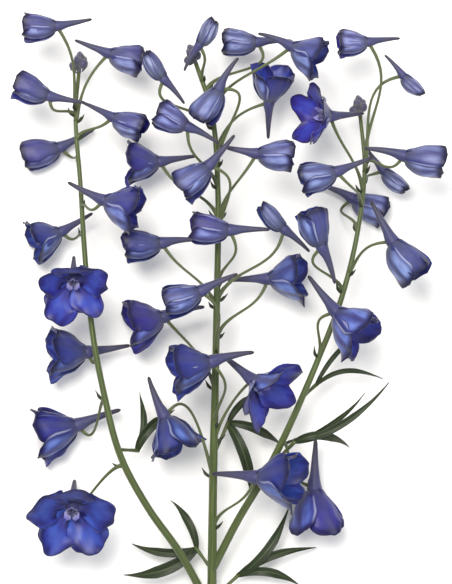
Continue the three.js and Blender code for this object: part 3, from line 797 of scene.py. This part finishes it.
def spur_finish():
    material, add = new_material("spur_skin")
    place = add("UVMap", {"uv_map": "place"})
    share = add("Math", TIMES, _0=add("SeparateXYZ", output="Y", Vector=place), _1=1 / SPUR_REACH)
    fine = veins(add, place, 14.0, 1.5, 2.0)
    colour = add("ValToRGB", {"stops": SPUR_SKIN}, Fac=share)
    petal_skin(add, veined(add, colour, fine, 0.75, 1.2), 0.5, fine)
    return material


spur_skin = spur_finish()
SEPAL_FINISHES = [sepal_outside, sepal_inside, spur_skin, sepal_inside]
print("a floret's finishes:", [finish.name for finish in SEPAL_FINISHES])

# %% [markdown]
# ## A sepal
#
# One sepal is a flat `create_grid` whose points are moved to where the blade really is. Its midrib bends
# in an arc away from the floret's axis and back, and its width wraps round that axis. Small moves make
# it a living thing: the midrib lies in a shallow crease, the rims wave and roll out, each rim slides over
# or under its neighbour's, and the whole blade strays a little. An inner rim is held still as long as its
# neighbour lies on it, or it would come through.

# %% The form of a sepal
MIDRIB_SAMPLES = 40
CLAW_CURVE = 1.6
TIP_CURVE = 2.4
NARROWEST = 3  # a blade wraps round the axis as if it were at least this far from it
LAP = 0.6  # how far a smooth rim stands off its place to pass over or under the next one
LAP_RUFFLED = 0.35  # how much further it stands off for each millimetre that it waves
LAP_WIDENS = 1.4  # a rim stands off in full from 1 / 1.4 of the half width on
HELD = 0.2  # share of its waves that an inner rim keeps, while the sepals still enclose each other
SPREAD_FLARE = 30  # above this flare the sepals have parted
ROOT_SHARE = 0.1  # share of a sepal over which it comes out of the floret's base
ROOT_SINK = 0.9
CREASE = 0.14
CREASE_WIDTH = 0.16
TIP_RUFFLE = 0.6  # how far the tip's own rim waves, as a share of the ruffle
TIP_WAVES = 0.4  # how many waves the tip has for each one along the rim
MUCRO = 0.4  # the small point at the end of the midrib
WANDER = 0.4  # how far a smooth blade strays from its plain form; a ruffled one strays further
WANDER_SCALE = 0.17  # a blade strays one way for about 6 mm
WANDER_APART = 50  # reads the noise at another place for each sepal
WANDER_SEED = 7

noise.seed_set(WANDER_SEED)  # unseeded, noise_vector starts from the clock, and no two runs agree


def midrib(sepal, own, stage):
    """Gives how far along the floret's axis, and how far from it, the midrib is."""
    first = math.radians(sepal["rise"] * stage["swell"])
    flare = min(stage["flare"], stage["flare"] * sepal["swing"])
    last = math.radians(flare + own["flared"] * stage["loose"])
    step = SEPAL_LENGTH * sepal["share"] * own["longer"] / MIDRIB_SAMPLES
    forward, away = [0.0], [sepal["start"]]
    for sample in range(MIDRIB_SAMPLES):
        passed = (sample + 0.5) / MIDRIB_SAMPLES
        angle = last + (first - last) * (1 - passed) ** EARLY_BEND
        forward.append(forward[-1] + step * math.cos(angle))
        away.append(away[-1] + step * math.sin(angle))
    return through(forward), through(away)


def sepal_width(stage, along):
    """Half the width at a share of the length, as a share of the widest."""
    if along < WIDEST_AT:
        return CLAW_SHARE + (1 - CLAW_SHARE) * math.sin(math.pi / 2 * along / WIDEST_AT) ** CLAW_CURVE
    return 1 - (1 - stage["tip"]) * ((along - WIDEST_AT) / (1 - WIDEST_AT)) ** TIP_CURVE


# %% One sepal blade
def blade_grid(bm, columns, rows):
    """A flat grid with its UV map. Gives each vertex, how far across (-1 to 1) and along (0 to 1) it is."""
    uv = bm.loops.layers.uv["place"]
    vertices = bmesh.ops.create_grid(bm, x_segments=columns, y_segments=rows, size=1.0)["verts"]
    for face in {face for vertex in vertices for face in vertex.link_faces}:
        face.smooth = True
        for loop in face.loops:
            loop[uv].uv = ((loop.vert.co.x + 1) / 2, (loop.vert.co.y + 1) / 2)
    return [(vertex, vertex.co.x, (vertex.co.y + 1) / 2) for vertex in vertices]


def sepal_blade(bm, sepal, own, stage, nature, wave):
    """Adds one sepal in the floret's own frame. wave is a pair: where its waves start, and how many."""
    layer = bm.verts.layers.float_color["nature"]
    start, waves = wave
    forward_at, away_at = midrib(sepal, own, stage)
    for vertex, across, along in blade_grid(bm, stage["columns"], stage["rows"]):
        edge = abs(across)
        drawn = along * (1 - stage["pull"] * edge**2)
        away = away_at(drawn)
        half = SEPAL_HALF_WIDTH * stage["width"] * sepal_width(stage, along)
        wrap = min(half / max(away, NARROWEST), math.radians(SEPAL_SECTOR))
        round_axis = math.radians(sepal["angle"] + own["turned"]) + across * wrap
        rooted = min(1.0, along / ROOT_SHARE)
        side = sepal["lap"][across > 0]
        stands_off = LAP + LAP_RUFFLED * stage["ruffle"] * along
        lap = side * stands_off * rooted * min(1.0, edge * LAP_WIDENS) ** 2
        ridge = math.exp(-((across / CREASE_WIDTH) ** 2))
        crease = CREASE * ridge * math.sin(math.pi * along**0.8)
        ruffle = stage["ruffle"] * edge**3 * along * math.sin(math.tau * (start + waves * along + across))
        if side < 0 and stage["flare"] < SPREAD_FLARE:
            ruffle *= HELD
        tip_wave = math.sin(math.tau * (start + TIP_WAVES * waves * across))
        tip_wave *= TIP_RUFFLE * stage["ruffle"] * along**6
        roll = stage["roll"] * along**3 * (edge**4 + 0.5 * along**6)
        away += lap - crease + ruffle + tip_wave + roll - ROOT_SINK * (1 - rooted)
        forward = forward_at(drawn) + MUCRO * along**8 * ridge
        spot = Vector((forward, away * math.cos(round_axis), away * math.sin(round_axis)))
        wander = (WANDER + WANDER * stage["ruffle"]) * along
        spot += noise.noise_vector(spot * WANDER_SCALE + Vector((start * WANDER_APART, 0, 0))) * wander
        vertex.co = spot
        vertex[layer] = nature


# %% [markdown]
# ## A floret
#
# Five sepals and the spur make one floret. The spur is a tube whose front end closes the floret's back,
# where the claws sit. Each floret draws its own small differences from the same seeds as the part does,
# and a second set of draws gives its tint, the strength of its painted highlight streaks and the waves
# of its rims.

# %% Build every floret
SPUR_STEPS = 18
SPUR_SIDES = 12
SPUR_POINT = 0.1  # least radius of the spur's end
LOOKS_SEED = 1000
LOWER_FROM = 180  # the angle from which a sepal counts as a lower one
# the paleness here is the strength of a sepal's painted highlight streaks
LOWER_SPREAD = 0.4  # how much less pale the lower sepals of an old floret may be than those of a bud
FEWEST_WAVES = 0.8  # along a rim
MORE_WAVES = 1.2
OLDEST_AT = min(floret["at"] for floret in FLORETS)


def spur_path(bend):
    """The spur's middle line and radii, smoothed through its listed rings."""
    reach = SPUR[-1][0]
    rings = [Vector((x, z + bend * (x / reach) ** 2, radius)) for x, z, radius in SPUR]
    smooth = [catmull_rom(rings, step / SPUR_STEPS) for step in range(SPUR_STEPS + 1)]
    return [Vector((x, 0, z)) for x, z, _ in smooth], [max(radius, SPUR_POINT) for _, _, radius in smooth]


def placement(floret):
    mouth, left, spurred = floret_axes(floret)
    turned = Matrix((mouth, left, spurred)).transposed().to_4x4()
    return Matrix.Translation(Vector(floret["place"])) @ turned @ Matrix.Scale(floret["size"], 4)


def floret_mesh(floret):
    draw = seeded(LOOKS_SEED + floret["number"])
    stage = STAGES[floret["stage"]]
    tone = draw()
    age = 0.5 * stage["age"] + 0.5 * (1 - floret["at"]) / (1 - OLDEST_AT)
    bm = new_mesh()
    for sepal, own_sepal in zip(SEPALS, floret["sepals"]):
        # how strong the painted highlight streaks and rim line are on this sepal
        highlight_strength = draw() if sepal["angle"] < LOWER_FROM else 1 - LOWER_SPREAD * age * draw()
        wave = (draw(), FEWEST_WAVES + MORE_WAVES * draw())
        sepal_blade(bm, sepal, own_sepal, stage, (age, tone, highlight_strength, 1.0), wave)
    points, radii = spur_path(floret["spur_bend"])
    tube(bm, points, through(radii), SPUR_SIDES, slot=2)
    bmesh.ops.transform(bm, matrix=placement(floret), verts=bm.verts)
    return bm


faces = 0
for floret in FLORETS:
    bm = floret_mesh(floret)
    faces += len(bm.faces)
    name = f"floret_{floret['number']:02d}"
    finished(bm, "petals_" + name, SEPAL_FINISHES, [name], SEPAL_THICKNESS)
print("florets:", faces, "faces before they get their thickness")

# %% [markdown]
# ## Eyes
#
# An open floret shows its eye: four small true petals in the throat, pale and hairy, and a bunch of
# stamens with dark anthers behind them. The petals are small grids bent like spoons. The stamens are thin
# tubes, each with a bead on its end.

# %% The eye's finishes
def eye_finish():
    material, add = new_material("pale_eye_petal")
    place = add("UVMap", {"uv_map": "place"})
    along = add("SeparateXYZ", output="Y", Vector=place)
    colour = add("ValToRGB", {"stops": [(0.0, "#8a86b4"), (0.55, "#b5b2d6"), (0.9, "#7f7cc2")]}, Fac=along)
    petal_skin(add, colour, 0.5, veins(add, place, 12.0, 2.0, 1.0))
    return material


def anther_finish():
    material, add = new_material("stamen")
    where = add("TexCoord", output="Object")
    grains = add("TexNoise", Vector=where, Scale=2500.0, Detail=2.0)  # 0.4 mm each
    colour = add("ValToRGB", {"stops": [(0.35, "#3b3850"), (0.65, "#6d6a90")]}, Fac=grains)
    surface(add, colour, grains, (0.6, 0.0001), 0.0, Roughness=0.65)
    return material


eye_petal_skin = eye_finish()
anther_skin = anther_finish()
print("eye finishes:", eye_petal_skin.name, anther_skin.name)


# %% An eye's petal
EYE_PETALS = table(
    "angle length half_width",  # angle is counted round the floret's axis, as that of a sepal
    (118, 8.5, 1.7),
    (62, 8.5, 1.7),
    (320, 7.5, 2.0),
    (220, 7.5, 2.0),
)
EYE_PETAL_ROOT = (1.6, 0, 1.1)
EYE_PETAL_TILT = -6  # degrees
EYE_PETAL_CLAW = 0.35  # width at its foot, as a share of its widest
EYE_PETAL_ROUND = 0.12  # how much shorter it is at its sides than along its middle
EYE_PETAL_LIFT = 1.6
EYE_PETAL_CURL = 0.5
EYE_PETAL_CELLS = (6, 8)


def eye_petal(bm, angle, length, half_width):
    """A spoon-shaped blade out of the throat, on the side that angle says."""
    turn = Matrix.Rotation(math.radians(angle - 90), 4, "X")
    tilt = Matrix.Rotation(math.radians(EYE_PETAL_TILT), 4, "Y")
    matrix = turn @ Matrix.Translation(EYE_PETAL_ROOT) @ tilt
    for vertex, across, along in blade_grid(bm, *EYE_PETAL_CELLS):
        swelling = math.sin(math.pi * min(along**1.3, 0.93))
        wide = half_width * (EYE_PETAL_CLAW + (1 - EYE_PETAL_CLAW) * swelling)
        forward = length * along * (1 - EYE_PETAL_ROUND * across**2)
        up = EYE_PETAL_LIFT * along**1.5 - EYE_PETAL_CURL * (1 - across**2)
        vertex.co = matrix @ Vector((forward, across * wide, up))


# %% Build the eyes
GOLDEN_ANGLE = 137.5  # from one stamen, or one bud of a knot, to the next
STAMENS = 14
STAMEN_ROOT = Vector((1.4, 0, 0.3))
STAMEN_PARTS = Vector((3.2, 0, 0.3))  # where the bunch of stamens opens
STAMEN_REACH = (4.6, 2.4)  # the least, and how much more one may have
STAMEN_SPREAD = (0.4, 1.5)  # of the innermost, and how much more the outermost has
STAMEN_RADII = [0.22, 0.14]
ANTHER_RADIUS = 0.38
ANTHER_STRETCH = 1.5
EYE_SEED = 2000


def stamen(bm, place, reach):
    """A thin tube with a bead on its end, as the one that is in this place of the bunch."""
    angle = math.radians(GOLDEN_ANGLE * place)
    out = STAMEN_SPREAD[0] + STAMEN_SPREAD[1] * math.sqrt(place / STAMENS)
    side = Vector((0, math.cos(angle), math.sin(angle))) * out
    end = Vector((reach, 0, STAMEN_ROOT.z)) + side
    curve = bezier([STAMEN_ROOT, STAMEN_PARTS + side, end], count=5)
    tube(bm, curve, through(STAMEN_RADII), sides=5)
    head = bmesh.ops.create_icosphere(bm, subdivisions=2, radius=ANTHER_RADIUS)["verts"]
    stretched = Matrix.Translation(end) @ Matrix.Scale(ANTHER_STRETCH, 4, (1, 0, 0))
    bmesh.ops.transform(bm, matrix=stretched, verts=head)
    for face in {face for vertex in head for face in vertex.link_faces}:
        face.material_index = 1
        face.smooth = True


def eye_mesh(floret):
    draw = seeded(EYE_SEED + floret["number"])
    bm = new_mesh()
    for petal in EYE_PETALS:
        eye_petal(bm, **petal)
    for place in range(STAMENS):
        stamen(bm, place, STAMEN_REACH[0] + STAMEN_REACH[1] * draw())
    bmesh.ops.transform(bm, matrix=placement(floret), verts=bm.verts)
    return bm


for floret in FLORETS:
    if floret["stage"] == "open":
        name = f"eye_{floret['number']:02d}"
        bm = eye_mesh(floret)
        print(name, "has", len(bm.faces), "faces")
        finished(bm, "petals_of_" + name, [eye_petal_skin, anther_skin], [name])

# %% [markdown]
# ## Young buds
#
# At the tip of each spike the next buds are packed in a knot: small, firm, downy, grey-violet, each
# already with the stub of its spur. A bud is a tube with few rings whose sides show the five folded sepals
# as shallow ribs.

# %% The young bud's finish
def young_bud_finish():
    material, add = new_material("downy_young_bud")
    place = add("UVMap", {"uv_map": "place"})
    along = add("SeparateXYZ", output="Y", Vector=place)
    share = add("Math", TIMES, _0=along, _1=1.6)
    stops = [(0.0, "#454b36"), (0.3, "#424154"), (0.65, "#373556"), (1.0, "#232140")]
    colour = add("ValToRGB", {"stops": stops}, Fac=share)
    where = add("TexCoord", output="Object")
    down = add("TexNoise", Vector=where, Scale=1400.0, Detail=2.0)  # tufts of 0.7 mm
    shade = add("ValToRGB", {"stops": [(0.3, 0.8), (0.7, 1.15)]}, Fac=down)
    colour = add("Mix", TINTED, MIXED, _0=0.8, _6=colour, _7=shade)
    sheen = {"Sheen_Weight": 0.4, "Sheen_Roughness": 0.5}
    surface(add, colour, down, (0.5, 0.0001), 0.0, Roughness=0.6, **sheen)
    return material


young_bud_skin = young_bud_finish()
print("young bud finish:", young_bud_skin.name)

# %% Build the knots
BUD_RADII = [0.8, 1.7, 2.15, 2.25, 2.1, 1.6, 0.7]
BUD_LENGTH = 4.6
BUD_STEPS = 8
BUD_SIDES = 12
BUD_RIBS = 5
BUD_RIB_DEPTH = 0.07
BUD_SPUR = [(3.4, 1.3), (1.5, 2.3), (0.0, 2.6)]  # along the bud, and away from its axis
BUD_SPUR_RADII = [0.9, 0.55, 0.25]
BUD_VARIES = (0.95, 0.1)  # the least size of a bud, and how much more it may have
KNOT_BUDS = 9
KNOT_LENGTH = 5.2  # from the first bud's root to the last one's
KNOT_SUNK = 1.5
KNOT_SPREAD = (75, 10)  # degrees that the first and the last bud lean out
KNOT_TAPER = (1.15, 0.7)  # size of the first and the last bud
KNOT_CORE = (1.1, 0.8)
KNOT_SEED = 3000
TIP_GAP = 0.4
CORE_SUNK = 1.0  # how far down the spike's end the knot's core starts


def bud(bm, base, direction, size, spur_angle):
    """One bud: its body, and its spur lying back along the stalk."""
    turn = direction.to_track_quat("X", "Z")
    spurred = turn @ Vector((0, math.cos(spur_angle), math.sin(spur_angle)))
    body = bezier([base, base + direction * BUD_LENGTH * size], BUD_STEPS)
    radii = through([radius * size for radius in BUD_RADII])
    tube(bm, body, radii, BUD_SIDES, ribs=BUD_RIBS, rib_depth=BUD_RIB_DEPTH)
    corners = [base + (direction * forward + spurred * away) * size for forward, away in BUD_SPUR]
    radii = through([radius * size for radius in BUD_SPUR_RADII])
    tube(bm, bezier(corners, count=6), radii, sides=8)


def knot_mesh(path, seed):
    """Buds round a short core, from its foot up, each turned by the golden angle from the last."""
    draw = seeded(KNOT_SEED + seed)
    upwards = path.direction(1.0)
    base = path.point(1.0) + upwards * TIP_GAP
    foot = base - upwards * (TIP_GAP + CORE_SUNK)
    bm = new_mesh()
    core = bezier([foot, base + upwards * (KNOT_LENGTH + KNOT_SUNK)], count=4)
    tube(bm, core, through(KNOT_CORE), sides=10)
    for place in range(KNOT_BUDS):
        share = place / (KNOT_BUDS - 1)
        lean = math.radians(through(KNOT_SPREAD)(share))
        aside = Vector((0, 0, 1)).cross(upwards).normalized()
        aside.rotate(Quaternion(upwards, math.radians(GOLDEN_ANGLE * place)))
        direction = upwards * math.cos(lean) + aside * math.sin(lean)
        root = base + upwards * (KNOT_SUNK + KNOT_LENGTH * share)
        size = through(KNOT_TAPER)(share) * (BUD_VARIES[0] + BUD_VARIES[1] * draw())
        bud(bm, root, direction, size, math.tau * draw())
    return bm


for seed, (name, path) in enumerate(spike_paths.items()):
    bm = knot_mesh(path, seed)
    print(name, "knot:", len(bm.faces), "faces")
    finished(bm, "young_buds_of_" + name, [young_bud_skin], ["young_buds_" + name])

# %% [markdown]
# ## Leaves and bracts
#
# The lower leaves are cut to the base into narrow pointed lobes. Each lobe is a grid that follows an
# arched curve, folded a little along its midrib. A small green bract sits where each flower stalk leaves
# the axis. The upper side is deep green, the under side paler.

# %% Leaf finishes
def leaf_finish(name, dark, light, rib):
    material, add = new_material(name)
    place = add("UVMap", {"uv_map": "place"})
    across = add("SeparateXYZ", Vector=place)
    rim = add("Math", {"operation": "ABSOLUTE"}, _0=add("Math", TIMES_PLUS, _0=across, _1=2.0, _2=-1.0))
    fine = veins(add, place, 16.0, 5.0, 4.0)
    colour = add("ValToRGB", {"stops": [(0.32, dark), (0.68, light)]}, Fac=fine)
    colour = laid_over(add, colour, rib, (rim, 0.14, 0.02, 0.8))
    surface(add, colour, fine, (0.5, 0.0003), 0.15, Roughness=0.48, IOR=1.42, Sheen_Weight=0.1)
    return material


leaf_upper = leaf_finish("leaf_upper_side", "#1b2513", "#2c3a1e", "#4c5b31")
leaf_under = leaf_finish("leaf_under_side", "#36452a", "#495a36", "#627247")
print("leaf finishes:", leaf_upper.name, leaf_under.name)


# %% A lobe
LOBE_FOOT = 0.3  # width at its foot, as a share of its widest
LOBE_POINT = 2.2  # how suddenly a lobe narrows to its point
LOBE_BLUNT = 1.03  # just over 1, so that the point keeps a little width
LOBE_WAVE = 0.5
LOBE_TURNS = 9  # radians of that wave along a lobe


def lobe_blade(bm, curve, half_width, fold, columns, rows, phase):
    """A blade along a curve, from its foot to its pointed tip, with its upper side up."""
    path = Path(curve)
    for vertex, across, along in blade_grid(bm, columns, rows):
        tangent = path.direction(along)
        aside = tangent.cross(Vector((0, 0, 1))).normalized()
        upper = aside.cross(tangent)
        swelling = math.sin(math.pi * (0.06 + 0.9 * along**0.8))
        pointed = min(1.0, LOBE_POINT * (LOBE_BLUNT - along)) ** 0.8
        wide = half_width * (LOBE_FOOT + (1 - LOBE_FOOT) * swelling) * pointed
        height = fold * abs(across) * wide + LOBE_WAVE * math.sin(phase + LOBE_TURNS * along) * across
        vertex.co = path.point(along) + aside * across * wide + upper * height


# %% Build the leaves
LEAF_STALK_RADII = [1.0, 0.8, 1.1]
LEAF_STALK_SUNK = 1.2  # how far a leaf's stalk runs on between its lobes
LEAF_THICKNESS = 0.3
LEAF_SEED = 4000
LOBE_CELLS = (10, 28)
LOBE_FOLD = 0.35
LOBE_WIDER = 1.1
LOBE_MIDDLE = 0.45  # share of a lobe at which its arch is drawn
LOBE_PHASES = 6.3


def leaf_mesh(spike, at, fork, lobes, seed):
    draw = seeded(LEAF_SEED + seed)
    fork = Vector(fork)
    node = spike_paths[spike].point(at)
    end = fork + (fork - node).normalized() * LEAF_STALK_SUNK
    bm = new_mesh()
    tube(bm, bezier([node, end], count=8), through(LEAF_STALK_RADII), sides=10, slot=2)
    for tip, arch, bow, half_width in lobes:
        tip = Vector(tip)
        leftwards = Vector((0, 0, 1)).cross(tip - fork).normalized()
        middle = fork.lerp(tip, LOBE_MIDDLE) + Vector((0, 0, 2 * arch)) + leftwards * 2 * bow
        curve = bezier([fork, middle, tip], count=30)
        lobe_blade(bm, curve, half_width * LOBE_WIDER, LOBE_FOLD, *LOBE_CELLS, LOBE_PHASES * draw())
    return bm


for seed, (spike, at, fork, lobes) in enumerate(LEAVES, 1):
    bm = leaf_mesh(spike, at, fork, lobes, seed)
    name = f"leaf_{seed:02d}"
    print(name, "has", len(bm.faces), "faces")
    finished(bm, "blades_of_" + name, [leaf_upper, leaf_under, axis_skin], [name], LEAF_THICKNESS)

# %% Bracts
BRACT_LENGTH = 7.5
BRACT_VARIES = (0.75, 0.5)  # the least share of that length, and how much more a bract may have
BRACT_SHRINKS = (1.25, 0.6)  # share of that length at the foot of a spike, and what is lost up to its tip
BRACT_FOOT = (0.8, -0.6)  # outwards and up the axis from where the flower stalk leaves it
BRACT_CORNERS = [(0.0, 0.0), (0.45, 0.15), (0.75, 0.65)]  # of its curve, as shares of its length
BRACT_HALF_WIDTH = 0.75
BRACT_FOLD = 0.3
BRACT_CELLS = (2, 8)
BRACT_THICKNESS = 0.25
BRACT_SEED = 5000

bracts = new_mesh()
draw = seeded(BRACT_SEED)
for floret in FLORETS:
    points = stalk_points(floret)
    upwards = spike_paths[floret["spike"]].direction(floret["at"])
    leaving = points[3] - points[0]
    outwards = (leaving - upwards * leaving.dot(upwards)).normalized()
    length = BRACT_LENGTH * (BRACT_VARIES[0] + BRACT_VARIES[1] * draw())
    length *= BRACT_SHRINKS[0] - BRACT_SHRINKS[1] * floret["at"]
    foot = points[0] + outwards * BRACT_FOOT[0] + upwards * BRACT_FOOT[1]
    corners = [foot + (outwards * out + upwards * up) * length for out, up in BRACT_CORNERS]
    curve = bezier(corners, count=10)
    lobe_blade(bracts, curve, BRACT_HALF_WIDTH, BRACT_FOLD, *BRACT_CELLS, phase=0.0)
print("bracts:", len(bracts.faces), "faces")
finished(bracts, "bracts", [leaf_upper, leaf_under], [], BRACT_THICKNESS)

# %% [markdown]
# ## Table, light and camera
#
# The plant lies on a plain pale table under two large soft lamps, and the camera looks straight down on
# it. The world is a soft white, so the shadows stay light.

# %% The table
def table_finish():
    material, add = new_material("pale_table")
    where = add("TexCoord", output="Object")
    mottle = add("TexNoise", Vector=where, Scale=8.0)  # clouds of 125 mm
    colour = add("ValToRGB", {"stops": [(0.3, "#f4f4f3"), (0.7, "#f8f8f7")]}, Fac=mottle)
    add("OutputMaterial", Surface=add("BsdfPrincipled", Base_Color=colour, Roughness=0.9))
    return material


TABLE_SIZE = 6.0
table_top = bpy.data.meshes.new("table")
bm = bmesh.new()
bmesh.ops.create_grid(bm, x_segments=1, y_segments=1, size=TABLE_SIZE / 2)
bm.to_mesh(table_top)
bm.free()
table_top.materials.append(table_finish())
floor = new_object("table", table_top)
print("table:", TABLE_SIZE, "m wide")


# %% Lamps and world
def soft_lamp(name, place, target, size, power, colour):
    light = bpy.data.lights.new(name, "AREA")
    light.size = size
    light.energy = power
    light.color = linear(colour)[:3]
    lamp = new_object(name, light)
    lamp.location = place
    lamp.rotation_euler = (Vector(target) - Vector(place)).to_track_quat("-Z", "Y").to_euler()


middle = (0.0, 0.05, 0.03)
soft_lamp("key", (-0.25, 0.55, 1.5), middle, 0.7, 28, "#fffaf2")
soft_lamp("fill", (0.6, -0.2, 1.5), middle, 1.4, 8, "#f4f7ff")

WORLD_STRENGTH = 0.58
world = bpy.data.worlds.new("studio")
bpy.context.scene.world = world
world.use_nodes = True
background = world.node_tree.nodes["Background"]
background.inputs["Color"].default_value = linear("#ffffff")
background.inputs["Strength"].default_value = WORLD_STRENGTH
bpy.context.scene.view_settings.view_transform = "Standard"
print("lamps:", [light.name for light in bpy.data.lights])

# %% Camera
VIEW_MIDDLE = Vector((0.0, 256.0, 30.0))  # middle of what the camera sees, in the layout
VIEW_LENGTH = 0.292
CAMERA_DISTANCE = 1.5
SENSOR = 36.0

camera_data = bpy.data.cameras.new("camera")
camera_data.sensor_width = SENSOR
camera_data.lens = CAMERA_DISTANCE * SENSOR / VIEW_LENGTH
camera = new_object("camera", camera_data)
camera.location = LAY_OUT @ VIEW_MIDDLE + Vector((0, 0, CAMERA_DISTANCE))
bpy.context.scene.camera = camera
print("camera lens:", round(camera_data.lens), "mm")
